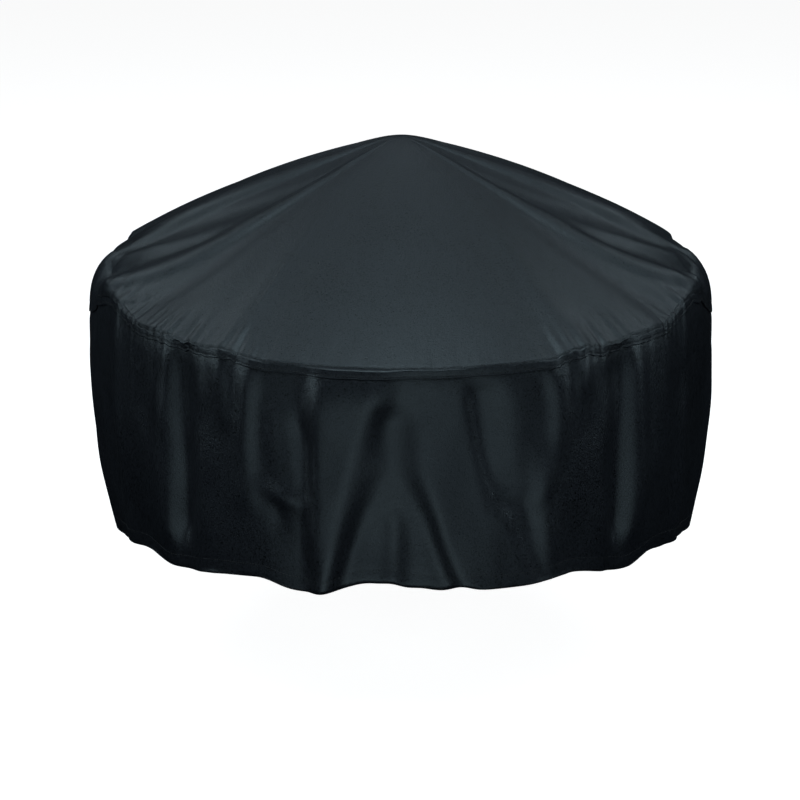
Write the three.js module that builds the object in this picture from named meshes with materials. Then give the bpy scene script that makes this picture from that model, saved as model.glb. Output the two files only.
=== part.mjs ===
// A round fire pit cover of thin coated cloth, as it hangs in use.
// It is sewn from two pieces. A round top panel rises to a blunt peak and falls in soft radial folds.
// A skirt panel is lapped under the top's turned-down edge, hangs in uneven upright folds, and is drawn
// in at the bottom, where its hem is turned up inside. The cover is hollow and open underneath.
// Units are millimetres, +Z is up, and the front of the cover faces -Y.
// Angles are in degrees round the cover, from the front, positive towards +X.
import * as THREE from 'three';

// Driving dimensions
const RIM_RADIUS = 424;
const PEAK_HEIGHT = 199;
const DOME_FULLNESS = 0.34;
const PEAK_BLUNTNESS = 0.06;
const RIM_ROLL = 5;
const HEM_RADIUS = 399;
const HEM_DROP = 306;
const BELLY = 8;
const BELLY_HEIGHT_POWER = 0.8;
const SKIRT_TAPER_POWER = 3;
const RIM_RISE_POWER = 3;
const PEAK_TILT_REACH = 0.24;
const HEM_TURN_RADIUS = 6;
const HEM_TURN_HEIGHT = 12;
const LAP_LIP = 10;
const CLOTH_THICKNESS = 2;
const PIECE_GAP = 0.3;

// Places along the profile: 0 is the peak, 1 the start of the rim's roll, 2 the seam, 3 the bottom of
// the skirt and 4 the edge of the turned hem.
const ROLL = 1;
const SEAM = 2;
const HEM = 3;
const HEM_EDGE = 4;
const TUCKED_EDGE = 1.5;
const LIP_EDGE = SEAM + LAP_LIP / HEM_DROP;
const HEM_TURN_SHARE = 0.7;

// Columns stand closer together at the front, and fewer of them reach the peak.
const COLUMNS = 160;
const FRONT_CROWDING = 0.55;

// A table's rows become objects with the column names as keys.
function table(columnNames, rows) {
  return rows.map((row) => Object.fromEntries(columnNames.map((name, i) => [name, row[i]])));
}

const TOP_RINGS = table(['place', 'columns'], [
  [0.07, COLUMNS / 4],
  [0.17, COLUMNS / 2],
  [0.3, COLUMNS / 2],
  [0.44, COLUMNS],
  [0.58, COLUMNS],
  [0.71, COLUMNS],
  [0.83, COLUMNS],
  [0.92, COLUMNS],
  [ROLL, COLUMNS],
  [TUCKED_EDGE, COLUMNS],
  [SEAM, COLUMNS],
  [LIP_EDGE, COLUMNS],
]);
const SKIRT_FIRST_PLACES = [TUCKED_EDGE, SEAM, LIP_EDGE];
const SKIRT_ROWS = 9;
const HEM_TURN_PLACES = [HEM, 3.25, 3.5, HEM_EDGE];

// The rim isn't a true circle. Each wave is centred at an angle, is some degrees wide, raises the rim,
// moves it out, and adds to the radius of its roll.
const RIM_WAVES = table(['at', 'wide', 'rise', 'out', 'roll'], [
  [-145, 20, 5, -4, 20],
  [-90, 15, -30, 0, 72],
  [-66, 11, 23, -10, 0],
  [-44, 9, 8, -2, 0],
  [-31, 4, 7, 0, 0],
  [31, 4, 8, 0, 0],
  [44, 9, 8, -2, 0],
  [66, 11, 26, -10, 0],
  [90, 15, -30, -2, 72],
  [150, 20, 6, -5, 18],
]);

// The hem is pulled up at the front and hangs lowest at the two sides. belly adds to the skirt's
// bulge halfway down, and out moves the hem out.
const HEM_WAVES = table(['at', 'wide', 'rise', 'out', 'belly'], [
  [-125, 22, 4, -6, 0],
  [-82, 18, -26, 2, 0],
  [-56, 4, 4, 0, 0],
  [-45, 6, -4, 0, 0],
  [-29, 10, 16, 0, 0],
  [-23.5, 4, 8, 0, 0],
  [-14, 6, 10, 0, 0],
  [-7, 4, 9, 0, 0],
  [0, 38, 9, 40, -9],
  [-1.5, 7.5, 21, 0, 0],
  [4, 3, 5, 0, 0],
  [10.5, 4, 10, 0, 0],
  [15, 7, 13, 0, 0],
  [29, 10, 20, 0, 0],
  [45, 6, -6, 0, 0],
  [54, 4, 5, 0, 0],
  [83, 18, -28, 6, 0],
  [128, 20, 6, -8, 0],
  [178, 20, -10, 2, 0],
]);

// Radial folds of the top. from and to are shares of the way from the peak to the rim, and a fold that
// runs on over the rim has a larger to. It lies at angle peakAt at the peak and rimAt at the rim, and
// bend turns its last stretch further. Its crest is flat for some degrees to each side, and its flanks
// take left and right degrees more. high is its height at the rim, below zero for a trough.
const TOP_FOLDS = table(['from', 'to', 'peakAt', 'rimAt', 'bend', 'flat', 'left', 'right', 'high'], [
  [0.2, 2, -165, -163, 0, 1, 7, 8, 6],
  [0.3, 2, -132, -138, 0, 2, 9, 8, 5],
  [0.45, 2, -106, -116, 0, 1.5, 6, 5, 14],
  [0.1, 2, -96, -108, 0, 5, 14, 12, 5],
  [0.02, 2, -69, -88, 0, 0.7, 12, 4, 11],
  [0.15, 2, -34, -92, 0, 1, 6, 6, -5],
  [0.5, 2, -22, -84, 0, 0.5, 4, 4, 6],
  [0.6, 2, -28, -79, 0, 1, 4, 5, -7],
  [0.03, 2, -43, -62, -7, 0.5, 6, 3.5, 9],
  [0.4, 2, -40, -54, -4, 0.5, 4, 6, -4],
  [0.6, 2, -1, -47, 0, 0.5, 6, 6, 1.6],
  [0.65, 2, -16, -29, 0, 0, 6, 6, -0.9],
  [0.65, 2, 16, 28, 0, 0, 6, 6, -0.8],
  [0.6, 2, 2, 48, 0, 0.5, 6, 6, 1.6],
  [0.4, 2, 40, 54, 4, 0.5, 6, 4, -4],
  [0.03, 2, 44, 63, 6, 0.5, 3.5, 6, 9],
  [0.6, 2, 30, 78, 0, 1, 5, 4, -7],
  [0.5, 2, 24, 85, 0, 0.5, 4, 4, 6],
  [0.15, 2, 36, 93, 0, 1, 6, 6, -5],
  [0.02, 2, 69, 89, 0, 0.7, 4, 12, 11],
  [0.1, 2, 96, 108, 0, 5, 12, 14, 5],
  [0.45, 2, 106, 117, 0, 1.5, 5, 6, 14],
  [0.3, 2, 136, 141, 0, 2, 8, 9, 5],
  [0.25, 2, 168, 170, 0, 1, 8, 7, 6],
]);
const TOP_FOLD_GROWTH = 0.85;
const TOP_FOLD_END_FADE = 0.07;
const TOP_FOLD_BEND_POWER = 8;
const TOP_FOLD_LEFT_AT_SEAM = 0.3;
const TOP_FOLDS_WANE_FROM = 0.86;
const TOP_FOLDS_GONE = 2.2;

// Upright folds of the skirt. from and to are shares of the skirt's depth, and topAt and hemAt are the
// fold's angles there. bow moves the middle of the fold sideways, in degrees. The crest's half width
// and its left and right flank are in millimetres round the cover, at the top and at the hem. A crest
// width below zero counts as none, so such a fold is sharp at first. The heights are in millimetres
// too, below zero for a trough.
const SKIRT_FOLDS = table(
  [
    'from', 'to', 'topAt', 'hemAt', 'bow', 'topFlat', 'hemFlat',
    'topLeft', 'hemLeft', 'topRight', 'hemRight', 'topHigh', 'hemHigh',
  ],
  [
    [0, 1.1, -166, -163, 0, 4, 10, 30, 30, 30, 30, 5, 10],
    [0, 1.1, -142, -146, 1.5, 0, 6, 36, 36, 26, 26, 6, 14],
    [0, 1.1, -121, -118, -1, 2, 8, 30, 30, 30, 30, 6, 12],
    [0, 1.1, -97, -99, 1, 0, 4, 36, 36, 26, 26, 5, 10],
    [0.1, 1.1, -79, -77, 0, 0, 6, 30, 30, 26, 26, 2, 5],
    [0, 1.1, -62, -64, 1, 0, 4, 30, 30, 26, 26, 3, 6],
    [0, 1.1, -43.2, -46.5, -1.2, 0, 4, 26, 30, 20, 32, 4, 8],
    [0, 1.1, -40.2, -43.3, 1.8, 0, 0, 24, 38, 34, 40, -9, -18],
    [0, 0.4, -31.7, -30.8, 0, 0, 0, 26, 26, 14, 16, 8, 1],
    [0, 0.75, -25.3, -25, -1.5, 0, 0, 26, 36, 16, 20, 8, 3],
    [0.12, 0.72, -21, -18.5, 0, 6, 8, 20, 24, 24, 24, 3, 4],
    [0.2, 0.72, -17, -15.3, 0, 0, 2, 14, 14, 14, 14, -4, -6],
    [0.6, 1.1, -16.2, -15.2, 0, 0, 0, 14, 16, 10, 14, -4, -9],
    [0, 1.1, -8.3, -14.2, -0.9, 31, 3, 28, 18, 40, 28, 12, 16],
    [0.12, 1.1, -0.9, -0.7, 0, -42, 82, 42, 28, 50, 14, -4, -15],
    [0.62, 1.1, -1.6, -1.4, 0, 0, 0, 18, 20, 18, 20, -5, -8],
    [0, 1.1, 4.9, 19, -2.6, 30, 42, 10, 18, 16, 20, 1, 5],
    [0.02, 0.7, 11.4, 16.8, 0, 0, 0, 16, 18, 50, 50, -6, -6],
    [0.3, 1.1, 22, 28, 0, 2, 8, 20, 20, 26, 26, 3, 6],
    [0, 0.7, 25, 21, 3.5, 0, 0, 16, 20, 26, 34, 8, 3],
    [0, 0.4, 30.7, 31.2, 0, 0, 0, 14, 16, 26, 26, 8, 1],
    [0, 1.1, 40.2, 43, -1.8, 0, 0, 34, 40, 24, 38, -9, -18],
    [0, 1.1, 43.2, 46.2, 1.2, 0, 4, 20, 32, 26, 30, 4, 8],
    [0, 1.1, 61, 65, -1, 0, 4, 26, 26, 30, 30, 3, 6],
    [0.1, 1.1, 80, 79, 0, 0, 6, 26, 26, 30, 30, 2, 5],
    [0, 1.1, 100, 97, 1, 0, 4, 26, 26, 38, 38, 5, 10],
    [0, 1.1, 119, 122, 1.5, 2, 6, 28, 28, 36, 36, 6, 13],
    [0, 1.1, 143, 140, -1, 0, 6, 26, 26, 36, 36, 6, 12],
    [0, 1.1, 165, 169, 0, 4, 12, 34, 34, 28, 28, 5, 12],
  ],
);
const FOLD_FADE = 0.12;
const SEAM_FOLDS_START = -0.1;
const SEAM_FOLDS_FULL = 0.16;
const DRAWN_IN_FROM = 0.78;
const DRAWN_IN_FULLY = 1.02;
const DRAWN_IN_SHARE = 0.12;

const { clamp, degToRad, lerp, smoothstep } = THREE.MathUtils;

// The shorter way round from one angle to another, from -180 to 180 degrees
function angleFrom(start, angle) {
  return THREE.MathUtils.euclideanModulo(angle - start + 180, 360) - 180;
}

function waveSum(waves, key, angle) {
  return waves.reduce((sum, wave) => {
    const away = angleFrom(wave.at, angle) / wave.wide;
    return sum + wave[key] * Math.exp(-(away ** 2));
  }, 0);
}

// A fold's section: 1 on its flat crest and 0 past its flanks, which are straight with a rounded top
// and foot over a share of their width
const FLANK_ROUNDING = 0.4;

function foldSection(across, flat, left, right) {
  const past = Math.max(Math.abs(across) - flat, 0);
  const risen = clamp(1 - past / (across < 0 ? left : right), 0, 1);
  const fromEnd = Math.min(risen, 1 - risen);
  const height = fromEnd < FLANK_ROUNDING
    ? fromEnd ** 2 / (2 * FLANK_ROUNDING * (1 - FLANK_ROUNDING))
    : (fromEnd - FLANK_ROUNDING / 2) / (1 - FLANK_ROUNDING);
  return risen < 0.5 ? height : 1 - height;
}

function topFoldHeight(place, angle) {
  const reach = clamp(place, 0, 1);
  const kept = 1 - (1 - TOP_FOLD_LEFT_AT_SEAM) * smoothstep(place, TOP_FOLDS_WANE_FROM, SEAM)
    - TOP_FOLD_LEFT_AT_SEAM * smoothstep(place, SEAM, TOP_FOLDS_GONE);
  return TOP_FOLDS.reduce((sum, fold) => {
    const crest = lerp(fold.peakAt, fold.rimAt, reach) + fold.bend * reach ** TOP_FOLD_BEND_POWER;
    const grown = clamp((reach - fold.from) / (1 - fold.from), 0, 1) ** TOP_FOLD_GROWTH;
    const unended = 1 - smoothstep(reach, fold.to - TOP_FOLD_END_FADE, fold.to);
    const section = foldSection(angleFrom(crest, angle), fold.flat, fold.left, fold.right);
    return sum + fold.high * grown * unended * kept * section;
  }, 0);
}

function skirtFoldHeight(place, angle) {
  const depth = place - SEAM;
  const height = SKIRT_FOLDS.reduce((sum, fold) => {
    const along = clamp((depth - fold.from) / (fold.to - fold.from), 0, 1);
    const at = lerp(fold.topAt, fold.hemAt, along) + fold.bow * Math.sin(Math.PI * along);
    const across = degToRad(angleFrom(at, angle)) * RIM_RADIUS;
    const flat = Math.max(lerp(fold.topFlat, fold.hemFlat, along), 0);
    const left = lerp(fold.topLeft, fold.hemLeft, along);
    const right = lerp(fold.topRight, fold.hemRight, along);
    const begun = fold.from === 0
      ? smoothstep(depth, SEAM_FOLDS_START, SEAM_FOLDS_FULL)
      : smoothstep(depth, fold.from, fold.from + FOLD_FADE);
    const unended = fold.to < 1 ? 1 - smoothstep(depth, fold.to - FOLD_FADE, fold.to) : 1;
    const high = lerp(fold.topHigh, fold.hemHigh, along) * begun * unended;
    return sum + high * foldSection(across, flat, left, right);
  }, 0);
  return height * (1 - DRAWN_IN_SHARE * smoothstep(depth, DRAWN_IN_FROM, DRAWN_IN_FULLY));
}

// The smooth profile at an angle: its radius and height, and the direction in which folds stand out
function smoothProfile(place, angle) {
  const rimRadius = RIM_RADIUS + waveSum(RIM_WAVES, 'out', angle);
  const rimHeight = waveSum(RIM_WAVES, 'rise', angle);
  const roll = RIM_ROLL + waveSum(RIM_WAVES, 'roll', angle);
  const slope = Math.atan(((1 + DOME_FULLNESS) * PEAK_HEIGHT) / RIM_RADIUS);
  if (place <= ROLL) {
    const rollRadius = rimRadius - roll + roll * Math.sin(slope);
    const rollHeight = roll * Math.cos(slope);
    const blunted = (Math.hypot(place, PEAK_BLUNTNESS) - PEAK_BLUNTNESS)
      / (Math.hypot(1, PEAK_BLUNTNESS) - PEAK_BLUNTNESS);
    const dome = (1 - blunted) * (1 + DOME_FULLNESS * blunted);
    const raised = rimHeight * place ** RIM_RISE_POWER;
    const height = rollHeight + (PEAK_HEIGHT - rollHeight) * dome + raised;
    const tilt = slope * Math.min(place / PEAK_TILT_REACH, 1);
    return { radius: place * rollRadius, height, out: Math.sin(tilt), up: Math.cos(tilt) };
  }
  if (place <= SEAM) {
    const tilt = lerp(slope, Math.PI / 2, place - ROLL);
    const radius = rimRadius - roll + roll * Math.sin(tilt);
    return { radius, height: rimHeight + roll * Math.cos(tilt), out: Math.sin(tilt), up: Math.cos(tilt) };
  }
  const hemRadius = HEM_RADIUS + waveSum(HEM_WAVES, 'out', angle);
  const hemHeight = -HEM_DROP + waveSum(HEM_WAVES, 'rise', angle);
  if (place <= HEM) {
    const depth = place - SEAM;
    const fullest = BELLY + waveSum(HEM_WAVES, 'belly', angle);
    const belly = fullest * Math.sin(Math.PI * depth ** BELLY_HEIGHT_POWER);
    const radius = rimRadius + belly - (rimRadius - hemRadius) * depth ** SKIRT_TAPER_POWER;
    return { radius, height: lerp(rimHeight, hemHeight, depth), out: 1, up: 0 };
  }
  const turned = Math.PI * Math.min((place - HEM) / HEM_TURN_SHARE, 1);
  const risen = Math.max((place - HEM - HEM_TURN_SHARE) / (1 - HEM_TURN_SHARE), 0);
  const radius = hemRadius - HEM_TURN_RADIUS * (1 - Math.cos(turned));
  const height = hemHeight - HEM_TURN_RADIUS * Math.sin(turned) + HEM_TURN_HEIGHT * risen;
  return { radius, height, out: 1, up: 0 };
}

// A point of the folded cloth line, which the skirt's outer face and, a gap away, the top's inner
// face both follow
function clothPoint(place, angle) {
  const profile = smoothProfile(place, angle);
  const high = topFoldHeight(place, angle) + skirtFoldHeight(place, angle);
  const radius = profile.radius + high * profile.out;
  const turn = degToRad(angle);
  return new THREE.Vector3(
    radius * Math.sin(turn),
    -radius * Math.cos(turn),
    profile.height + high * profile.up,
  );
}

// A point a distance out from the cloth line, square to it. The two steps only measure its slopes.
const PLACE_STEP = 0.004;
const ANGLE_STEP = 0.2;

function offsetPoint(place, angle, offset) {
  const downwards = clothPoint(Math.min(place + PLACE_STEP, HEM_EDGE), angle)
    .sub(clothPoint(place - PLACE_STEP, angle));
  const sideways = clothPoint(place, angle + ANGLE_STEP).sub(clothPoint(place, angle - ANGLE_STEP));
  const outwards = downwards.cross(sideways).normalize();
  return clothPoint(place, angle).addScaledVector(outwards, offset);
}

// Column angles follow a whole turn, slowed down at the front
function columnAngle(column, columns) {
  const turn = (2 * Math.PI * column) / columns - Math.PI;
  return THREE.MathUtils.radToDeg(turn - FRONT_CROWDING * Math.sin(turn));
}

// A closed sheet is a chain of rings, down its outer face and back up its inner face.
class SheetBuilder {
  constructor() {
    this.positions = [];
    this.indices = [];
  }

  addPoint(point) {
    this.positions.push(point.x, point.y, point.z);
    return this.positions.length / 3 - 1;
  }

  addRing(place, columns, offset) {
    return Array.from({ length: columns }, (_, column) =>
      this.addPoint(offsetPoint(place, columnAngle(column, columns), offset)));
  }

  // Joins two rings, or a ring and a single pole, whose counts are equal or one twice the other.
  // Each square is split from its upper left corner to its lower right one, on both faces alike, so
  // that neighbouring sheets stay parallel. The second ring lies below the first on the way down.
  joinRings(first, second, goingDown) {
    const counts = [first.length, second.length];
    const steps = Math.min(...counts) === 1 ? Math.max(...counts) : Math.min(...counts);
    for (let step = 0; step < steps; step += 1) {
      const firstRun = this.ringRun(first, step, steps);
      const secondRun = this.ringRun(second, step, steps);
      const firstHub = goingDown ? firstRun[0] : firstRun.at(-1);
      const secondHub = goingDown ? secondRun.at(-1) : secondRun[0];
      for (let i = 0; i + 1 < secondRun.length; i += 1) {
        this.indices.push(firstHub, secondRun[i], secondRun[i + 1]);
      }
      for (let i = 0; i + 1 < firstRun.length; i += 1) {
        this.indices.push(firstRun[i], secondHub, firstRun[i + 1]);
      }
    }
  }

  // Joins a whole chain of rings, down the outer face and back up the inner face
  joinChain(outerRings, innerRings) {
    const chain = [...outerRings, ...innerRings.toReversed()];
    for (let i = 0; i + 1 < chain.length; i += 1) {
      this.joinRings(chain[i], chain[i + 1], i < outerRings.length);
    }
  }

  // The points of one step of a ring, from its first to the next step's first
  ringRun(ring, step, steps) {
    if (ring.length === 1) {
      return ring;
    }
    const perStep = ring.length / steps;
    return Array.from({ length: perStep + 1 }, (_, i) => ring[(step * perStep + i) % ring.length]);
  }

  toGeometry() {
    const geometry = new THREE.BufferGeometry();
    geometry.setAttribute('position', new THREE.Float32BufferAttribute(this.positions, 3));
    geometry.setIndex(this.indices);
    geometry.computeVertexNormals();
    return geometry;
  }
}

// The top panel's two faces meet at its lip's edge, and each comes to a pole at the peak
function topPanelGeometry() {
  const sheet = new SheetBuilder();
  const [outerFace, innerFace] = [PIECE_GAP + CLOTH_THICKNESS, PIECE_GAP].map((offset) => {
    const pole = [sheet.addPoint(new THREE.Vector3(0, 0, PEAK_HEIGHT + offset))];
    return [pole, ...TOP_RINGS.map((ring) => sheet.addRing(ring.place, ring.columns, offset))];
  });
  sheet.joinChain(outerFace, innerFace);
  return sheet.toGeometry();
}

// The skirt is a closed band, so its last ring joins its first
function skirtPanelGeometry() {
  const sheet = new SheetBuilder();
  const spread = Array.from({ length: SKIRT_ROWS - 1 }, (_, row) =>
    lerp(LIP_EDGE, HEM, (row + 1) / SKIRT_ROWS));
  const places = [...SKIRT_FIRST_PLACES, ...spread, ...HEM_TURN_PLACES];
  const [outerFace, innerFace] = [0, -CLOTH_THICKNESS].map((offset) =>
    places.map((place) => sheet.addRing(place, COLUMNS, offset)));
  sheet.joinChain(outerFace, innerFace);
  sheet.joinRings(innerFace[0], outerFace[0], false);
  return sheet.toGeometry();
}

function clothMesh(name, geometry) {
  const material = new THREE.MeshStandardMaterial({ color: 0x14181a, roughness: 0.7, metalness: 0 });
  const mesh = new THREE.Mesh(geometry, material);
  mesh.name = name;
  return mesh;
}

// The origin is under the peak, on the top's inner face, where the cover is held up
const cover = new THREE.Group();
cover.position.z = -(PEAK_HEIGHT + PIECE_GAP);
cover.add(clothMesh('top_panel', topPanelGeometry()));
cover.add(clothMesh('skirt_panel', skirtPanelGeometry()));

export default cover;
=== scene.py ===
# %% [markdown]
# A round fire pit cover of thin coated cloth, hanging as it does in use: a peaked top with soft radial
# folds, and a skirt that is sewn under the top's edge and drawn in at its hem. Such cloth could be
# simulated, by letting two flat cuts fall over a support, but a simulation settles where it likes, and
# these folds have to lie in given places. So the cloth is worked out from formulas and short tables,
# and a fold is moved by changing one row.
#
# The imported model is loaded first, as a fixed frame. Its two solids are plain, 2 mm thick and faceted,
# so two fine sheets of cloth are made here in the same places and stand for them.

# %% Load the frame
import math

import bpy
import numpy as np
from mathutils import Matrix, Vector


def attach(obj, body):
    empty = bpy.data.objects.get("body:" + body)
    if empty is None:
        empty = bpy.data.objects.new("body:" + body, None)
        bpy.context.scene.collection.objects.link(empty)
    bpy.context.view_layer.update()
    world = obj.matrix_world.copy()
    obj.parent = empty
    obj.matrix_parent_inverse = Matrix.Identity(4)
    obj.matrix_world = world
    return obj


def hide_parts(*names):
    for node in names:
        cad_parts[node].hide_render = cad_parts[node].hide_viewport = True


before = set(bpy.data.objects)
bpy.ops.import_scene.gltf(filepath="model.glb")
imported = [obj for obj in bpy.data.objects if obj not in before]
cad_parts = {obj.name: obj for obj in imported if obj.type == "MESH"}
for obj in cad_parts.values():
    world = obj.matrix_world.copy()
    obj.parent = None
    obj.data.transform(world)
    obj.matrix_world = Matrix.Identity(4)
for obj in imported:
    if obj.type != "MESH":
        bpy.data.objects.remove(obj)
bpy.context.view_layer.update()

# %% [markdown]
# A maker describes such a cover by a few sizes: how wide the rim is and how high the peak, how deep the
# skirt, and how far the hem is drawn in. They could be measured on the solids, but those are faceted.
# So the sizes that drove the solids are stated again, and sheets made from them lie where the solids
# lie. Lengths in this part are millimetres, as the cutter's would be, with the rim at height 0.
#
# The cloth is one surface with two parameters. The first is the angle round the cover, in degrees from
# the front, positive towards +X. The second is the place along the profile: 0 is the peak, 1 the start
# of the rim's roll, 2 the seam, 3 the bottom of the skirt and 4 the edge of the turned hem.

# %% Driving sizes, in millimetres
RIM_RADIUS = 424
PEAK_HEIGHT = 199
DOME_FULLNESS = 0.34
PEAK_BLUNTNESS = 0.06
RIM_ROLL = 5
HEM_RADIUS = 399
HEM_DROP = 306
BELLY = 8
BELLY_HEIGHT_POWER = 0.8
SKIRT_TAPER_POWER = 3
RIM_RISE_POWER = 3
PEAK_TILT_REACH = 0.24
HEM_TURN_RADIUS = 6
HEM_TURN_HEIGHT = 12
LAP_LIP = 10
PIECE_GAP = 0.3

ROLL, SEAM, HEM, HEM_EDGE = 1, 2, 3, 4
TUCKED_EDGE = 1.5
LIP_EDGE = SEAM + LAP_LIP / HEM_DROP
HEM_TURN_SHARE = 0.7
MM = 0.001
print("the lip ends at place", round(LIP_EDGE, 4), "and the skirt starts under it, at place", TUCKED_EDGE)

# %% [markdown]
# The rim isn't level and the hem isn't round. The cloth rises over what carries it, sags in between, and
# hangs lower where it is loose. A curve drawn by hand could follow that, but a sum of soft bumps needs
# one short row for each bump and can't have a kink. A wave is centred at an angle and is some degrees
# wide. It moves the edge up or out, or adds to the rim's roll or to the skirt's belly.

# %% Waves of the rim and the hem
def table(names, lines):
    """A dictionary of the table's columns: each name with an array of the numbers below it."""
    return {name: np.array(column, float) for name, column in zip(names.split(), zip(*lines))}


RIM_WAVES = table("at wide rise out roll", [
    (-145, 20, 5, -4, 20),
    (-90, 15, -30, 0, 72),
    (-66, 11, 23, -10, 0),
    (-44, 9, 8, -2, 0),
    (-31, 4, 7, 0, 0),
    (31, 4, 8, 0, 0),
    (44, 9, 8, -2, 0),
    (66, 11, 26, -10, 0),
    (90, 15, -30, -2, 72),
    (150, 20, 6, -5, 18),
])
HEM_WAVES = table("at wide rise out belly", [
    (-125, 22, 4, -6, 0),
    (-82, 18, -26, 2, 0),
    (-56, 4, 4, 0, 0),
    (-45, 6, -4, 0, 0),
    (-29, 10, 16, 0, 0),
    (-23.5, 4, 8, 0, 0),
    (-14, 6, 10, 0, 0),
    (-7, 4, 9, 0, 0),
    (0, 38, 9, 40, -9),
    (-1.5, 7.5, 21, 0, 0),
    (4, 3, 5, 0, 0),
    (10.5, 4, 10, 0, 0),
    (15, 7, 13, 0, 0),
    (29, 10, 20, 0, 0),
    (45, 6, -6, 0, 0),
    (54, 4, 5, 0, 0),
    (83, 18, -28, 6, 0),
    (128, 20, 6, -8, 0),
    (178, 20, -10, 2, 0),
])
print("waves in the rim and the hem", len(RIM_WAVES["at"]), len(HEM_WAVES["at"]))

# %% [markdown]
# The main folds are the ridges and troughs in which the cloth hangs. Noise could make folds too, but real
# ones have their places: they start where the cloth is held and run to where it is free. So they are
# placed one by one. A fold of the top grows from its start, a share of the way from the peak to the
# rim, and a fold of the skirt runs between two shares of the way from the seam down to the hem.
#
# Each fold has a flat crest, given by its half width, and two flanks of their own widths, so that it
# can be steep on one side and soft on the other. Heights are millimetres, below zero for a trough.
# Widths are degrees on the top, and millimetres round the cover on the skirt. A crest with a width
# below zero counts as none, so such a fold is sharp at first.

# %% Folds of the top
TOP_FOLDS = table("start peak_at rim_at bend flat left right high", [
    (0.2, -165, -163, 0, 1, 7, 8, 6),
    (0.3, -132, -138, 0, 2, 9, 8, 5),
    (0.45, -106, -116, 0, 1.5, 6, 5, 14),
    (0.1, -96, -108, 0, 5, 14, 12, 5),
    (0.02, -69, -88, 0, 0.7, 12, 4, 11),
    (0.15, -34, -92, 0, 1, 6, 6, -5),
    (0.5, -22, -84, 0, 0.5, 4, 4, 6),
    (0.6, -28, -79, 0, 1, 4, 5, -7),
    (0.03, -43, -62, -7, 0.5, 6, 3.5, 9),
    (0.4, -40, -54, -4, 0.5, 4, 6, -4),
    (0.6, -1, -47, 0, 0.5, 6, 6, 1.6),
    (0.65, -16, -29, 0, 0, 6, 6, -0.9),
    (0.65, 16, 28, 0, 0, 6, 6, -0.8),
    (0.6, 2, 48, 0, 0.5, 6, 6, 1.6),
    (0.4, 40, 54, 4, 0.5, 6, 4, -4),
    (0.03, 44, 63, 6, 0.5, 3.5, 6, 9),
    (0.6, 30, 78, 0, 1, 5, 4, -7),
    (0.5, 24, 85, 0, 0.5, 4, 4, 6),
    (0.15, 36, 93, 0, 1, 6, 6, -5),
    (0.02, 69, 89, 0, 0.7, 4, 12, 11),
    (0.1, 96, 108, 0, 5, 12, 14, 5),
    (0.45, 106, 117, 0, 1.5, 5, 6, 14),
    (0.3, 136, 141, 0, 2, 8, 9, 5),
    (0.25, 168, 170, 0, 1, 8, 7, 6),
])
print("folds in the top", len(TOP_FOLDS["high"]))

# %% Folds of the skirt
SKIRT_FOLDS = table("start end top_at hem_at bow top_flat hem_flat top_left hem_left top_right hem_right"
                    " top_high hem_high", [
    (0, 1.1, -166, -163, 0, 4, 10, 30, 30, 30, 30, 5, 10),
    (0, 1.1, -142, -146, 1.5, 0, 6, 36, 36, 26, 26, 6, 14),
    (0, 1.1, -121, -118, -1, 2, 8, 30, 30, 30, 30, 6, 12),
    (0, 1.1, -97, -99, 1, 0, 4, 36, 36, 26, 26, 5, 10),
    (0.1, 1.1, -79, -77, 0, 0, 6, 30, 30, 26, 26, 2, 5),
    (0, 1.1, -62, -64, 1, 0, 4, 30, 30, 26, 26, 3, 6),
    (0, 0.94, -43.2, -46.2, -1.2, 0, 0, 26, 30, 20, 32, 4, 6),
    (0, 1.1, -40.2, -43.3, 1.8, 0, 0, 24, 38, 34, 40, -8, -8),
    (0.1, 0.92, -41, -43, 1, 0, 0, 22, 26, 26, 26, -2, -11),
    (0, 0.4, -31.7, -30.8, 0, 0, 0, 26, 26, 14, 16, 8, 1),
    (0, 0.75, -25.3, -25, -1.5, 0, 0, 26, 36, 16, 20, 8, 3),
    (0.12, 0.72, -21, -18.5, 0, 6, 8, 20, 24, 24, 24, 3, 4),
    (0.2, 0.72, -17, -15.3, 0, 0, 2, 14, 14, 14, 14, -4, -6),
    (0.6, 1.1, -16.2, -15.2, 0, 0, 0, 14, 16, 10, 14, -4, -9),
    (0, 1.1, -8.3, -14.2, -0.9, 31, 3, 28, 18, 44, 28, 13, 16),
    (0.12, 1.1, -1.8, -1, 0, -42, 82, 34, 26, 50, 14, -4.5, -15),
    (0.62, 1.1, -1.6, -1.4, 0, 0, 0, 18, 20, 18, 20, -5, -8),
    (0, 1.1, 4.9, 19, -2.6, 30, 42, 10, 18, 16, 20, 1, 5),
    (0.02, 0.7, 11.4, 16.8, 0, 0, 0, 16, 18, 50, 50, -6, -6),
    (0.3, 1.1, 22, 28, 0, 2, 8, 20, 20, 26, 26, 3, 6),
    (0, 0.7, 25, 21, 3.5, 0, 0, 16, 20, 26, 34, 8, 3),
    (0, 0.4, 30.7, 31.2, 0, 0, 0, 14, 16, 26, 26, 8, 1),
    (0.1, 0.92, 41, 43, -1, 0, 0, 26, 26, 22, 26, -2, -11),
    (0, 1.1, 40.2, 43, -1.8, 0, 0, 34, 40, 24, 38, -8, -8),
    (0, 0.94, 43.2, 46, 1.2, 0, 0, 20, 32, 26, 30, 4, 6),
    (0, 1.1, 61, 65, -1, 0, 4, 26, 26, 30, 30, 3, 6),
    (0.1, 1.1, 80, 79, 0, 0, 6, 26, 26, 30, 30, 2, 5),
    (0, 1.1, 100, 97, 1, 0, 4, 26, 26, 38, 38, 5, 10),
    (0, 1.1, 119, 122, 1.5, 2, 6, 28, 28, 36, 36, 6, 13),
    (0, 1.1, 143, 140, -1, 0, 6, 26, 26, 36, 36, 6, 12),
    (0, 1.1, 165, 169, 0, 4, 12, 34, 34, 28, 28, 5, 12),
])
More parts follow.
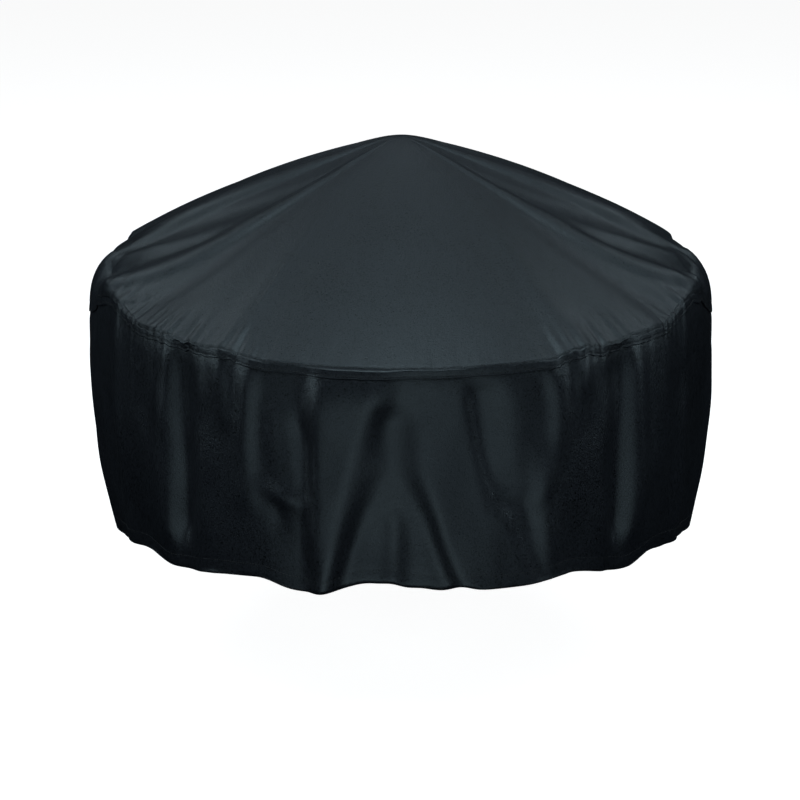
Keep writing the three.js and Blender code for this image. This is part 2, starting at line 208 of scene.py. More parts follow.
print("folds in the skirt", len(SKIRT_FOLDS["top_high"]))

# %% [markdown]
# What follows turns the tables into heights of the cloth. A loop over points would be slow in Python, so
# every function takes whole arrays of places and angles and gives a whole array back. The tables' rows
# run along one more axis in front, which is summed away.

# %% Helpers on whole arrays
def smoothstep(x, low, high):
    """0 below low, 1 above high, and between them 3 t squared - 2 t cubed of the share t."""
    t = np.clip((x - low) / (high - low), 0, 1)
    return t * t * (3 - 2 * t)


def mix(start, end, share):
    """start at share 0, end at share 1, and on the straight line between them otherwise."""
    return start + (end - start) * share


def angle_from(start, angle):
    """The shorter way round from start to angle, from -180 to 180 degrees."""
    return (angle - start + 180) % 360 - 180


def rows(values, points):
    """A table's column, turned to stand in front of the axes of points."""
    return values.reshape((-1,) + (1,) * points.ndim)


def wave_sum(waves, key, angle):
    """The sum over the waves of key x exp(-(degrees from the wave / its width) squared)."""
    away = angle_from(rows(waves["at"], angle), angle) / rows(waves["wide"], angle)
    return (rows(waves[key], angle) * np.exp(-away**2)).sum(0)


whole_turn = np.arange(360.0)
rim_rise = wave_sum(RIM_WAVES, "rise", whole_turn)
print("the rim lies between", rim_rise.min().round(1), "and", rim_rise.max().round(1), "mm")

# %% [markdown]
# A fold's section is what a cut across it would show. A sine or a bell curve would be rounder than the
# cloth is: coated cloth has nearly flat faces that meet in narrow bends. So a flank is straight here,
# and only its top and its foot are rounded.

# %% The section of a fold
FLANK_ROUNDING = 0.4


def fold_section(across, flat, left, right):
    """1 on the flat crest and 0 past its flanks. Each flank is straight, with a rounded top and foot
    that are parabolas over a share of its width."""
    past = np.maximum(np.abs(across) - flat, 0)
    t = np.clip(1 - past / np.where(across < 0, left, right), 0, 1)
    from_end = np.minimum(t, 1 - t)
    straight = (from_end - FLANK_ROUNDING / 2) / (1 - FLANK_ROUNDING)
    rounded = from_end**2 / (2 * FLANK_ROUNDING * (1 - FLANK_ROUNDING))
    risen = np.where(from_end < FLANK_ROUNDING, rounded, straight)
    return np.where(t < 0.5, risen, 1 - risen)


heights_across = fold_section(np.arange(0, 14, 2.0), 2, 10, 10)
print("section of a fold every 2 mm from its middle", heights_across.round(2))

# %% [markdown]
# On the real cover the top's folds fan out from the peak and grow towards the rim, where the seam holds
# them nearly flat. The skirt's folds begin again at the seam, and the drawn-in hem holds them a little.
# Each fold could be a mesh of its own that is blended into its neighbours. One height for every point
# of one surface is simpler, and where folds meet, their heights just add up.

# %% Heights of the top's folds
TOP_FOLD_BEND_POWER = 8
TOP_FOLD_GROWTH = 0.85
TOP_FOLD_LEFT_AT_SEAM = 0.3
TOP_FOLDS_WANE_FROM = 0.86
TOP_FOLDS_GONE = 2.2


def top_folds_kept(place):
    """The share of the top's folds that is left: less over the rim, and none below the lap."""
    kept = 1 - (1 - TOP_FOLD_LEFT_AT_SEAM) * smoothstep(place, TOP_FOLDS_WANE_FROM, SEAM)
    return kept - TOP_FOLD_LEFT_AT_SEAM * smoothstep(place, SEAM, TOP_FOLDS_GONE)


def top_fold_height(reach, angle):
    """Sum of the top's folds: height x the share of the way from the fold's start to the rim, to the
    power of growth, x the section across the fold. The crest's angle changes evenly from peak to rim,
    and bend x a power of the reach is added to it."""
    fold = {name: rows(column, angle) for name, column in TOP_FOLDS.items()}
    crest = mix(fold["peak_at"], fold["rim_at"], reach) + fold["bend"] * reach**TOP_FOLD_BEND_POWER
    across = angle_from(crest, angle)
    grown = np.clip((reach - fold["start"]) / (1 - fold["start"]), 0, 1) ** TOP_FOLD_GROWTH
    section = fold_section(across, fold["flat"], fold["left"], fold["right"])
    return (fold["high"] * grown * section).sum(0)


print("highest fold at the rim", top_fold_height(np.ones(360), whole_turn).max().round(1), "mm")

# %% Heights of the skirt's folds
FOLD_FADE = 0.12
SEAM_FOLDS_START = -0.1
SEAM_FOLDS_FULL = 0.16
DRAWN_IN_FROM = 0.78
DRAWN_IN_FULLY = 1.02
DRAWN_IN_SHARE = 0.12


def skirt_fold_height(depth, angle):
    """Sum of the skirt's folds: height x section across the fold x its fading in and out. Height, width
    and angle change evenly from the fold's top to its bottom, and bow x sin(pi x share) is added to
    the angle. Depth is the share of the skirt below the seam."""
    fold = {name: rows(column, angle) for name, column in SKIRT_FOLDS.items()}
    along = np.clip((depth - fold["start"]) / (fold["end"] - fold["start"]), 0, 1)
    at = mix(fold["top_at"], fold["hem_at"], along) + fold["bow"] * np.sin(np.pi * along)
    across = np.radians(angle_from(at, angle)) * RIM_RADIUS
    flat = np.maximum(mix(fold["top_flat"], fold["hem_flat"], along), 0)
    left = mix(fold["top_left"], fold["hem_left"], along)
    right = mix(fold["top_right"], fold["hem_right"], along)

    from_seam = smoothstep(depth, SEAM_FOLDS_START, SEAM_FOLDS_FULL)
    from_start = smoothstep(depth, fold["start"], fold["start"] + FOLD_FADE)
    begun = np.where(fold["start"] == 0, from_seam, from_start)
    to_end = 1 - smoothstep(depth, fold["end"] - FOLD_FADE, fold["end"])
    unended = np.where(fold["end"] < 1, to_end, 1)
    high = mix(fold["top_high"], fold["hem_high"], along) * begun * unended
    height = (high * fold_section(across, flat, left, right)).sum(0)
    return height * (1 - DRAWN_IN_SHARE * smoothstep(depth, DRAWN_IN_FROM, DRAWN_IN_FULLY))


half_way = skirt_fold_height(np.full(360, 0.5), whole_turn)
print("the skirt half way down lies between", half_way.min().round(1), "and", half_way.max().round(1), "mm")

# %% [markdown]
# Creases are smaller than folds: a sharp line where the cloth was once folded, or a pinch between two
# folds. They could be drawn into a bump texture, but these catch the light along their flanks and show
# from the side, so they are part of the shape. Each is laid on the cloth as if it were flat, along a
# line from one point to another, which may bow a little. Widths and heights are millimetres.

# %% Creases
SKIRT_CREASES = table("from_angle from_place to_angle to_place bow wide high", [
    (-26, 2.56, -17, 2.6, 2, 18, 3.5),
    (-21.5, 2.56, -14.3, 2.62, 3, 15, 2.5),
    (-21.4, 2.61, -20.6, 2.78, -2, 15, -3),
    (14.5, 2.62, 22, 2.57, -3, 12, 3),
    (20.8, 2.6, 22.4, 2.79, 2, 12, -3),
])
TOP_CREASES = table("from_angle from_place to_angle to_place bow wide high", [
    (-30.6, 0.64, -29.8, 0.89, 1, 3.5, 0.6),
    (-55.5, 0.91, -61, 1, 0, 5, 2),
])
CREASE_TAPER = 0.3


def crease_height(x, y, place_to_xy, creases):
    """Sum of the creases: height x a section across the line x a taper towards its two ends."""
    x0, y0 = (rows(v, x) for v in place_to_xy(creases["from_angle"], creases["from_place"]))
    x1, y1 = (rows(v, x) for v in place_to_xy(creases["to_angle"], creases["to_place"]))
    length = np.hypot(x1 - x0, y1 - y0)
    ux, uy = (x1 - x0) / length, (y1 - y0) / length
    along = ((x - x0) * ux + (y - y0) * uy) / length
    bowed = rows(creases["bow"], x) * np.sin(np.pi * np.clip(along, 0, 1))
    across = (y - y0) * ux - (x - x0) * uy - bowed
    taper = smoothstep(along, 0, CREASE_TAPER) * smoothstep(1 - along, 0, CREASE_TAPER)
    section = fold_section(across, 0, rows(creases["wide"], x), rows(creases["wide"], x))
    return (rows(creases["high"], x) * taper * section).sum(0)


def skirt_flat(angle, place):
    """The skirt rolled out flat: distance round the cover and distance below the seam."""
    return np.radians(angle) * RIM_RADIUS, (place - SEAM) * HEM_DROP


def top_flat(angle, place):
    """The top seen from above: to the right and to the back of the peak."""
    turn = np.radians(angle)
    return place * RIM_RADIUS * np.sin(turn), -place * RIM_RADIUS * np.cos(turn)


print("creases in the skirt and the top", len(SKIRT_CREASES["high"]), len(TOP_CREASES["high"]))

# %% [markdown]
# Two things keep real cloth from looking drawn. The top's edge is eased into the seam, which leaves small
# gathers on both sides of it, and cloth that was packed flat keeps shallow swells. Both are uneven, so
# they come from random numbers. Noise on the unrolled cloth would leave a step at the back, where its
# two ends meet. A sum of waves with whole numbers of crests round the cover leaves none, and a fixed
# seed gives the same cloth each time.

# %% Ripples that close round the cover
RIPPLE_WAVES = 26


def ripples(angle, down, fewest, most, slant, seed):
    """The sum of the waves sin(crests x angle + slant x down + phase) over the square root of their
    number. Crests are whole numbers from fewest up to most, and slants lie between -slant and slant."""
    draw = np.random.default_rng(seed)
    crests = rows(draw.integers(fewest, most, RIPPLE_WAVES).astype(float), angle)
    slanted = rows(draw.uniform(-slant, slant, RIPPLE_WAVES), angle)
    phase = rows(draw.uniform(0, 2 * np.pi, RIPPLE_WAVES), angle)
    return np.sin(np.radians(angle) * crests + slanted * down + phase).sum(0) / math.sqrt(RIPPLE_WAVES)


step_at_back = np.ptp(ripples(np.array([-180.0, 180.0]), 0, fewest=5, most=30, slant=0, seed=31))
print("step where the ripples close", step_at_back.round(9))

# %% Gathers beside the seam
GATHER_HEIGHT = 0.8
GATHERS_ABOVE = 12
GATHERS_BELOW = 9
GATHERS_FROM, GATHERS_FULL = 18, 34
GATHERS_AT_FRONT = 0.12
GATHERS_MEAN, GATHERS_SPREAD = 0.75, 0.45
GATHER_SQUARENESS = 1.3


def rim_roll(angle):
    """The radius of the rim's roll, with its waves."""
    return RIM_ROLL + wave_sum(RIM_WAVES, "roll", angle)


def below_seam(place, angle):
    """Millimetres of cloth below the seam, negative above it: over the rim one roll's radius, above that
    shares of the straight way to the peak, and on the skirt shares of its depth."""
    roll = rim_roll(angle)
    on_top = -(ROLL - place) * math.hypot(RIM_RADIUS, PEAK_HEIGHT) - roll
    on_roll = -(SEAM - place) * roll
    return np.where(place < ROLL, on_top, np.where(place < SEAM, on_roll, (place - SEAM) * HEM_DROP))


def gathered_share(angle):
    """The gathers' strength: a small share at the front, rising to 1 at the sides and the back."""
    from_front = np.abs(angle_from(0, angle))
    return mix(GATHERS_AT_FRONT, 1, smoothstep(from_front, GATHERS_FROM, GATHERS_FULL))


def gather_height(place, angle):
    """Height x share at the angle x fading with distance from the seam x slow unevenness x tanh of
    short ripples, which squares their crests off."""
    down = below_seam(place, angle)
    fade = np.where(down < 0, np.exp(-((down / GATHERS_ABOVE) ** 2)), np.exp(-down / GATHERS_BELOW))
    uneven = GATHERS_MEAN + GATHERS_SPREAD * ripples(angle, 0, fewest=7, most=23, slant=0, seed=5)
    short = np.tanh(GATHER_SQUARENESS * ripples(angle, down, fewest=120, most=250, slant=0.02, seed=3))
    return GATHER_HEIGHT * gathered_share(angle) * fade * uneven * short


at_seam = gather_height(np.full(360, float(SEAM)), whole_turn)
print("gathers at the seam reach", np.abs(at_seam).max().round(2), "mm")

# %% The seam's own jag
SEAM_JAG = 1.3
FINE_JAG_SHARE = 0.5


def seam_jag(angle):
    """Small rises and dips of the seam where its gathers pull at it, next to none at the front."""
    slow = ripples(angle, 0, fewest=30, most=90, slant=0, seed=11)
    fine = ripples(angle, 0, fewest=110, most=200, slant=0, seed=12)
    return SEAM_JAG * gathered_share(angle) * (slow + FINE_JAG_SHARE * fine)


print("the seam jags up or down by", np.abs(seam_jag(whole_turn)).mean().round(2), "mm on average")

# %% Soft swells
TOP_SWELL, TOP_FINE_SWELL = 0.3, 0.05
TOP_SWELL_GROWTH = 1.5
SKIRT_SWELL, SKIRT_FINE_SWELL = 0.9, 0.1
SKIRT_SWELL_FULL, SKIRT_FINE_SWELL_FULL = 0.15, 0.1
DEEPEST_SWELL = 1.2


def soft_unevenness(place, angle):
    """Shallow swells of cloth that was packed flat, each height x growth x ripples: radial on the top,
    where they grow with the reach, and upright on the skirt, where they start below the seam."""
    reach = np.clip(place, 0, ROLL)
    broad = ripples(angle, reach, fewest=6, most=30, slant=20, seed=21)
    fine = ripples(angle, reach, fewest=16, most=70, slant=45, seed=22)
    on_top = TOP_SWELL * reach**TOP_SWELL_GROWTH * broad + TOP_FINE_SWELL * reach * fine

    depth = np.clip(place - SEAM, 0, DEEPEST_SWELL)
    broad = ripples(angle, depth, fewest=12, most=40, slant=5, seed=23)
    fine = ripples(angle, depth, fewest=40, most=100, slant=16, seed=24)
    on_skirt = SKIRT_SWELL * smoothstep(depth, 0, SKIRT_SWELL_FULL) * broad
    on_skirt = on_skirt + SKIRT_FINE_SWELL * smoothstep(depth, 0, SKIRT_FINE_SWELL_FULL) * fine
    return on_top * (1 - smoothstep(place, ROLL, SEAM)) + on_skirt


def top_crease_height(place, angle):
    """The top's creases, measured in the view from above."""
    plan_x, plan_y = top_flat(angle, np.clip(place, 0, ROLL))
    return crease_height(plan_x, plan_y, top_flat, TOP_CREASES)


swells = soft_unevenness(np.full(360, 2.5), whole_turn)
print("swells half way down the skirt, on average", np.abs(swells).mean().round(2), "mm")

# %% [markdown]
# Cloth bends softly, so the folds' heights aren't used as they are. A smoothing modifier could soften
# them, but it would pull in the seam and the hem as well. So the heights are taken at the knots of a
# net about 5 mm wide, averaged with their neighbours, and eased from knot to knot with a cubic B-spline.

# %% Easing a net of heights
NET_COLUMNS = 540
NET_ROW = 5


def softened(net, times):
    """Each knot averaged with its neighbours, with the weights 1, 2, 1, round the cover and down."""
    for _ in range(times):
        net = (np.roll(net, 1, 1) + 2 * net + np.roll(net, -1, 1)) / 4
        padded = np.concatenate([net[:1], net, net[-1:]])
        net = (padded[:-2] + 2 * net + padded[2:]) / 4
    return net


def spline_weights(t):
    """The four weights of a cubic B-spline at share t between its two middle knots."""
    middle = [(3 * t**3 - 6 * t**2 + 4) / 6, (-3 * t**3 + 3 * t**2 + 3 * t + 1) / 6]
    return [(1 - t) ** 3 / 6, *middle, t**3 / 6]


def eased_height(net, row, angle):
    """The spline through the net at a row, which may be a fraction, and an angle."""
    column = (angle % 360) / 360 * NET_COLUMNS
    row = np.clip(row, 0, len(net) - 1)
    row_knot, column_knot = np.floor(row).astype(int), np.floor(column).astype(int)
    height = 0
    for i, down in enumerate(spline_weights(row - row_knot)):
        rows_used = np.clip(row_knot + i - 1, 0, len(net) - 1)
        for j, beside in enumerate(spline_weights(column - column_knot)):
            height = height + down * beside * net[rows_used, (column_knot + j - 1) % NET_COLUMNS]
    return height


print("weights of a knot and its neighbours", [round(weight, 3) for weight in spline_weights(0)])

# %% [markdown]
# The skirt's net also holds its creases and some broad swells. Its fold lines wander a little on their
# way down, as those of hanging cloth do: straight ones would look ironed in.

# %% Nets of the skirt and the top
SKIRT_SOFTENINGS, TOP_SOFTENINGS = 2, 1
DEEPEST = 1.12
WANDER = 0.45
WANDER_FROM, WANDER_FULL = 0.05, 0.4
BROAD_SWELL = 0.8
BROAD_SWELL_FROM, BROAD_SWELL_FULL = 0.02, 0.25

net_angles = angle_from(0, np.arange(NET_COLUMNS) * 360 / NET_COLUMNS)[None, :]
net_depths = np.arange(SEAM_FOLDS_START, DEEPEST, NET_ROW / HEM_DROP)[:, None]
net_reaches = np.arange(0, 1 + 2 * NET_ROW / RIM_RADIUS, NET_ROW / RIM_RADIUS)[:, None]


def skirt_net():
    """Folds along wandering lines, creases and broad swells of the skirt, added up at the knots."""
    depth, angle = np.broadcast_arrays(net_depths, net_angles)
    drift = ripples(angle, depth, fewest=5, most=30, slant=9, seed=31)
    wandering = WANDER * smoothstep(depth, WANDER_FROM, WANDER_FULL) * drift
    height = skirt_fold_height(depth, angle + wandering)
    flat_x, flat_y = skirt_flat(angle, SEAM + depth)
    height = height + np.where(depth > 0, crease_height(flat_x, flat_y, skirt_flat, SKIRT_CREASES), 0)
    broad = ripples(angle, np.maximum(depth, 0), fewest=6, most=36, slant=22, seed=33)
    height = height + BROAD_SWELL * smoothstep(depth, BROAD_SWELL_FROM, BROAD_SWELL_FULL) * broad
    return softened(height, SKIRT_SOFTENINGS)


SKIRT_NET = skirt_net()
TOP_NET = softened(top_fold_height(*np.broadcast_arrays(net_reaches, net_angles)), TOP_SOFTENINGS)


def eased_folds(place, angle):
    """The eased heights of the skirt's and the top's folds together. The top's fade past the rim."""
    on_skirt = eased_height(SKIRT_NET, (place - SEAM - SEAM_FOLDS_START) * HEM_DROP / NET_ROW, angle)
    on_top = eased_height(TOP_NET, np.clip(place, 0, ROLL) * RIM_RADIUS / NET_ROW, angle)
    return on_skirt + on_top * top_folds_kept(place)


print("knots of the nets", SKIRT_NET.size, TOP_NET.size)

# %% [markdown]
# Without its folds the cover is a shape that could be turned on a lathe: a blunt dome, a small roll at
# the rim, a skirt with a slight belly, and the hem's half turn. A Screw modifier turns such a profile
# into a surface, but here the rim and the hem change with the angle, so the profile is worked out anew
# at every angle. Each stretch also has a tilt, which is the direction in which folds stand out from it.

# %% The rim and the hem at every angle
SEAM_JAG_FROM = 0.88
DOME_END_SLOPE = math.atan((1 + DOME_FULLNESS) * PEAK_HEIGHT / RIM_RADIUS)


def rim_line(angle):
    """Radius, rise, jag and roll of the rim."""
    radius = RIM_RADIUS + wave_sum(RIM_WAVES, "out", angle)
    return radius, wave_sum(RIM_WAVES, "rise", angle), seam_jag(angle), rim_roll(angle)


def hem_line(angle):
    """Radius and height of the hem, and the belly above it."""
    radius = HEM_RADIUS + wave_sum(HEM_WAVES, "out", angle)
    height = -HEM_DROP + wave_sum(HEM_WAVES, "rise", angle)
    return radius, height, BELLY + wave_sum(HEM_WAVES, "belly", angle)


print("the hem is", round(float(2 * hem_line(whole_turn)[0].mean())), "mm across on average")

# %% Dome and rim
def dome(place, rim):
    """Radius, height and tilt of the top. With the reach r and the bluntness c, b is
    (hypot(r, c) - c) / (hypot(1, c) - c), and (1 - b)(1 + fullness x b) is the share of the peak's
    height that is left. The rim's rise comes in with a power of r."""
    rim_radius, rise, jag, roll = rim
    reach = np.clip(place, 0, ROLL)
    whole = math.hypot(1, PEAK_BLUNTNESS) - PEAK_BLUNTNESS
    blunted = (np.hypot(reach, PEAK_BLUNTNESS) - PEAK_BLUNTNESS) / whole
    left = (1 - blunted) * (1 + DOME_FULLNESS * blunted)
    start_radius = rim_radius - roll + roll * math.sin(DOME_END_SLOPE)
    start_height = roll * math.cos(DOME_END_SLOPE)
    raised = rise * reach**RIM_RISE_POWER + jag * smoothstep(reach, SEAM_JAG_FROM, ROLL)
    height = start_height + (PEAK_HEIGHT - start_height) * left + raised
    return reach * start_radius, height, DOME_END_SLOPE * np.minimum(reach / PEAK_TILT_REACH, 1)


def rim_arc(place, rim):
    """Radius, height and tilt of the roll: an arc from the slope at the dome's end to upright."""
    rim_radius, rise, jag, roll = rim
    tilt = mix(DOME_END_SLOPE, np.pi / 2, np.clip(place - ROLL, 0, 1))
    return rim_radius - roll + roll * np.sin(tilt), rise + jag + roll * np.cos(tilt), tilt


print("the dome meets the rim at a slope of", round(math.degrees(DOME_END_SLOPE), 1), "degrees")

# %% Skirt and turned hem
def skirt_line(place, rim, hem):
    """Radius and height of the skirt. At the depth d the radius is the rim's + belly x sin(pi x d to a
    power) - (rim's - hem's) x d to another power, and the height goes evenly from rim to hem."""
    rim_radius, rise, jag, _ = rim
    hem_radius, hem_height, belly = hem
    depth = np.clip(place - SEAM, 0, 1)
    bulge = belly * np.sin(np.pi * depth**BELLY_HEIGHT_POWER)
    radius = rim_radius + bulge - (rim_radius - hem_radius) * depth**SKIRT_TAPER_POWER
    return radius, mix(rise + jag, hem_height, depth)


def hem_turn(place, hem):
    """Radius and height of the hem: a half circle inwards and then a short way straight up."""
    hem_radius, hem_height, _ = hem
    turned = np.pi * np.clip((place - HEM) / HEM_TURN_SHARE, 0, 1)
    risen = np.clip((place - HEM - HEM_TURN_SHARE) / (1 - HEM_TURN_SHARE), 0, 1)
    height = hem_height - HEM_TURN_RADIUS * np.sin(turned) + HEM_TURN_HEIGHT * risen
    return hem_radius - HEM_TURN_RADIUS * (1 - np.cos(turned)), height


turned_radius, _ = hem_turn(np.array([HEM_EDGE]), hem_line(whole_turn))
print("the mouth inside the turned hem is", round(float(2 * turned_radius.min())), "mm across or more")

# %% The whole profile
def smooth_profile(place, angle):
    """Radius, height and tilt of the stretch that a place is on, out of the four."""
    rim, hem = rim_line(angle), hem_line(angle)
    top, arc = dome(place, rim), rim_arc(place, rim)
    skirt, turn = skirt_line(place, rim, hem), hem_turn(place, hem)
    stretch = [place <= ROLL, place <= SEAM, place <= HEM]
    radius = np.select(stretch, [top[0], arc[0], skirt[0]], turn[0])
    height = np.select(stretch, [top[1], arc[1], skirt[1]], turn[1])
    tilt = np.select(stretch[:2], [top[2], arc[2]], np.pi / 2)
    return radius, height, tilt


front = np.zeros(5)
front_radius, front_height, _ = smooth_profile(np.arange(5.0), front)
print("front profile, radius", front_radius.round(), "and height", front_height.round())

# %% [markdown]
# The cloth line is that profile moved out by all the heights. The sheets' faces lie a little off it,
# square to it. A Solidify modifier does that too, but it gives one thickness all over, and here the lip
# is thicker and the stitches sink in. So the normal is worked out from short steps along the surface,
# and every point moves along it by an offset of its own.

# %% The cloth line and its normal
PLACE_STEP = 0.0015
ANGLE_STEP = 0.08


def cloth_points(place, angle):
    """Points of the cloth line: the profile moved by the sum of all heights along its fold direction,
    which is (sin tilt, cos tilt) in radius and height, then turned round the axis."""
    radius, height, tilt = smooth_profile(place, angle)
    high = eased_folds(place, angle) + top_crease_height(place, angle) * top_folds_kept(place)
    high = high + gather_height(place, angle) + soft_unevenness(place, angle)
    radius = radius + high * np.sin(tilt)
    turn = np.radians(angle)
    return np.stack([radius * np.sin(turn), -radius * np.cos(turn), height + high * np.cos(tilt)], -1)


def offset_points(place, angle, offset):
    """The cloth line moved by offset along its outward normal, which is the cross product of the
    direction down the cloth and the direction round it."""
    place, angle, offset = np.broadcast_arrays(place, angle, offset)
    lowest = np.minimum(place + PLACE_STEP, HEM_EDGE)
    down = cloth_points(lowest, angle) - cloth_points(place - PLACE_STEP, angle)
    sideways = cloth_points(place, angle + ANGLE_STEP) - cloth_points(place, angle - ANGLE_STEP)
    normal = np.cross(down, sideways)
    normal /= np.linalg.norm(normal, axis=-1, keepdims=True)
    return cloth_points(place, angle) + normal * offset[..., None]


def in_row_frame(points):
    """Millimetres over the rim turned into metres of the row's frame, whose origin is at the peak."""
    return (points - np.array([0, 0, PEAK_HEIGHT + PIECE_GAP])) * MM


seam_front = in_row_frame(cloth_points(np.array([float(SEAM)]), np.array([0.0])))
print("seam at the front, in metres", seam_front.round(4))

# %% [markdown]
# A sheet is a grid of rings. The rings run down its outer face, round its edge and back up its inner
# face, so the cloth has two faces and a real edge, which a single bent plane wouldn't have. Columns
# stand closer together at the front, where the cover is looked at most. The cloth's own flat
# coordinates, in metres, go into a UV map: a weave laid on in space would cut through the folds, and
# this one follows them.

# %% Columns round the cover
COLUMNS = 840
FRONT_CROWDING = 0.42


def column_angles(columns):
    """A whole turn, slowed down at the front: turn - crowding x sin(turn), in degrees."""
    turn = 2 * np.pi * np.arange(columns) / columns - np.pi
    return np.degrees(turn - FRONT_CROWDING * np.sin(turn))


angles = column_angles(COLUMNS)
closed_angles = np.append(angles, angles[0] + 360)
front_step = np.radians(np.diff(angles).min()) * RIM_RADIUS
print("columns", COLUMNS, "standing", front_step.round(2), "mm apart at the front")

# %% Squares between rings, and tips
def square_corners(ring_count, columns, closes):
    """The four corners of every square as grids of ring and column. The column counts on past the last
    one, to the other end of the cut cloth. closes joins the last ring to the first."""
    ring = np.arange(ring_count - (0 if closes else 1))
    below = (ring + 1) % ring_count
    column = np.arange(columns)
    corners = [(ring, column), (below, column), (below, column + 1), (ring, column + 1)]
    return [np.meshgrid(*corner, indexing="ij") for corner in corners]


def pole_fan(ring, tip, flat_ring, flipped):
    """Triangles from a ring's sides to the tip that closes it, and their flat places, with the tip's in
    the middle of the cut disc. flipped turns them to face the other way."""
    column = np.arange(len(ring))
    sides = [column + 1, column] if flipped else [column, column + 1]
    corners = np.stack([np.full(len(ring), tip)] + [ring[side % len(ring)] for side in sides], -1)
    middle = np.zeros((len(ring), 2))
    return corners, np.stack([middle] + [flat_ring[side] for side in sides], 1).reshape(-1, 2)


print("squares between two rings", square_corners(2, COLUMNS, closes=False)[0][0].size)

# %% Rings as a mesh
CUT_MAP = "cut_cloth"


def new_piece(name, mesh):
    """The mesh shaded smooth, as an object in the scene."""
    mesh.shade_smooth()
    piece = bpy.data.objects.new(name, mesh)
    bpy.context.scene.collection.objects.link(piece)
    return piece


def ring_mesh(name, points, flat, poles=(), closes=False):
    """A piece made of the rings' squares. poles close the first and the last ring with a tip. flat holds
    each point's place on the cut cloth, with one column more than points, because the cloth's two
    ends meet there."""
    ring_count, columns = points.shape[:2]
    corners = square_corners(ring_count, columns, closes)
    faces = [np.stack([ring * columns + column % columns for ring, column in corners], -1).reshape(-1, 4)]
    flats = [np.stack([flat[ring, column] for ring, column in corners], 2).reshape(-1, 2)]
    vertices = points.reshape(-1, 3)
    for end, pole in zip((0, ring_count - 1), poles):
        vertices = np.vstack([vertices, pole])
        ring = end * columns + np.arange(columns)
        fan, fan_flat = pole_fan(ring, len(vertices) - 1, flat[end], flipped=end > 0)
        faces.append(fan)
        flats.append(fan_flat)

    mesh = bpy.data.meshes.new(name)
    mesh.vertices.add(len(vertices))
    mesh.vertices.foreach_set("co", in_row_frame(vertices).ravel().astype(np.float32))
    corner_list = np.concatenate([face.ravel() for face in faces])
    sizes = np.concatenate([np.full(len(face), face.shape[1]) for face in faces])
    mesh.loops.add(len(corner_list))
    mesh.loops.foreach_set("vertex_index", corner_list.astype(np.int32))
    mesh.polygons.add(len(sizes))
    mesh.polygons.foreach_set("loop_start", (np.cumsum(sizes) - sizes).astype(np.int32))
    uv = mesh.uv_layers.new(name=CUT_MAP)
    uv.data.foreach_set("uv", np.vstack(flats).ravel().astype(np.float32))
    mesh.update(calc_edges=True)
    mesh.validate()
    return new_piece(name, mesh)


print("the cut cloth's coordinates go into the UV map", CUT_MAP)

# %% [markdown]
# The top is one disc of cloth. Its edge is folded over the skirt as a lip 10 mm deep, a little thicker
# than the cloth because the edge is turned under before it is sewn. The lip could be a ring of its own,
# but on the real cover it is the same cloth, so the disc's rings simply run on past the seam. More
# rings lie where the cloth bends sharply, and fewer on the inner face, which is hardly seen.

# %% The top panel's rings
CLOTH = 1.2
LIP_THICKNESS = 1.3
LIP_THICKENS_FROM = 1.9
LIP_FLARE = 0.15
LIP_FLARE_POWER = 1.3
LIP_ROUNDING = 0.6
STITCH_SINK = 0.25
STITCH_WIDE = 1.3
RIM_STITCH_ROWS = [-2.5, 7]


def spaced(*stops):
    """Places from stop to stop: (place, steps to the next one), ... and the last place alone."""
    runs = [np.linspace(a[0], b[0], a[1], endpoint=False) for a, b in zip(stops[:-1], stops[1:])]
    return np.concatenate(runs + [[stops[-1][0]]])


TOP_OUTER = spaced(
    (0.008, 4), (0.05, 30), (0.8, 14), (0.97, 9), (ROLL, 6), (1.6, 5), (1.9, 5), (SEAM, 11), (LIP_EDGE, 0)
)
TOP_INNER = spaced(
    (0.008, 2), (0.05, 12), (0.8, 5), (0.97, 2), (ROLL, 2), (1.6, 1), (1.9, 2), (SEAM, 2), (LIP_EDGE, 0)
)
print("rings on the top's outer and inner face", len(TOP_OUTER), len(TOP_INNER))

# %% How far the top's faces stand off the cloth line
def lip_flare(places):
    """How far the inner face stands off the cloth line: the pieces' gap, and on the lip as much of the
    flare as its share of the way to the edge, to a power."""
    return PIECE_GAP + LIP_FLARE * np.clip((places - SEAM) / (LIP_EDGE - SEAM), 0, 1) ** LIP_FLARE_POWER


def stitch_sink(places):
    """The grooves that the two rows of stitches pull into the seam, each a bell curve across its row."""
    down = below_seam(places, angles[None, :])
    return sum(STITCH_SINK * np.exp(-(((down - row) / STITCH_WIDE) ** 2)) for row in RIM_STITCH_ROWS)


def top_offsets(places):
    """How far the outer face stands off the cloth line: the inner face's distance and the cloth's
    thickness, more at the lip, less the grooves of the stitches."""
    thick = mix(CLOTH, LIP_THICKNESS, smoothstep(places, LIP_THICKENS_FROM, SEAM))
    return lip_flare(places) + thick - stitch_sink(places)


lip_inside = lip_flare(LIP_EDGE)
print("the lip's edge stands off", lip_inside.round(2), "mm inside, outside", lip_inside + LIP_THICKNESS)

# %% The top panel
def cut_flat_disc(points):
    """Each point of the disc before it was hung: as far from the middle as it is from the peak along
    the cloth, averaged round the ring so that the grid stays even."""
    steps = np.linalg.norm(np.diff(points, axis=0), axis=-1).mean(1)
    first = np.linalg.norm(points[0] - points[0].mean(0), axis=-1).mean()
    reach = np.concatenate([[0], np.cumsum(steps)]) + first
    turn = np.radians(angles)[None, :]
    flat = np.stack([reach[:, None] * np.sin(turn), -reach[:, None] * np.cos(turn)], -1) * MM
    return np.concatenate([flat, flat[:, :1]], 1)


EDGE_STRETCH = 1.001


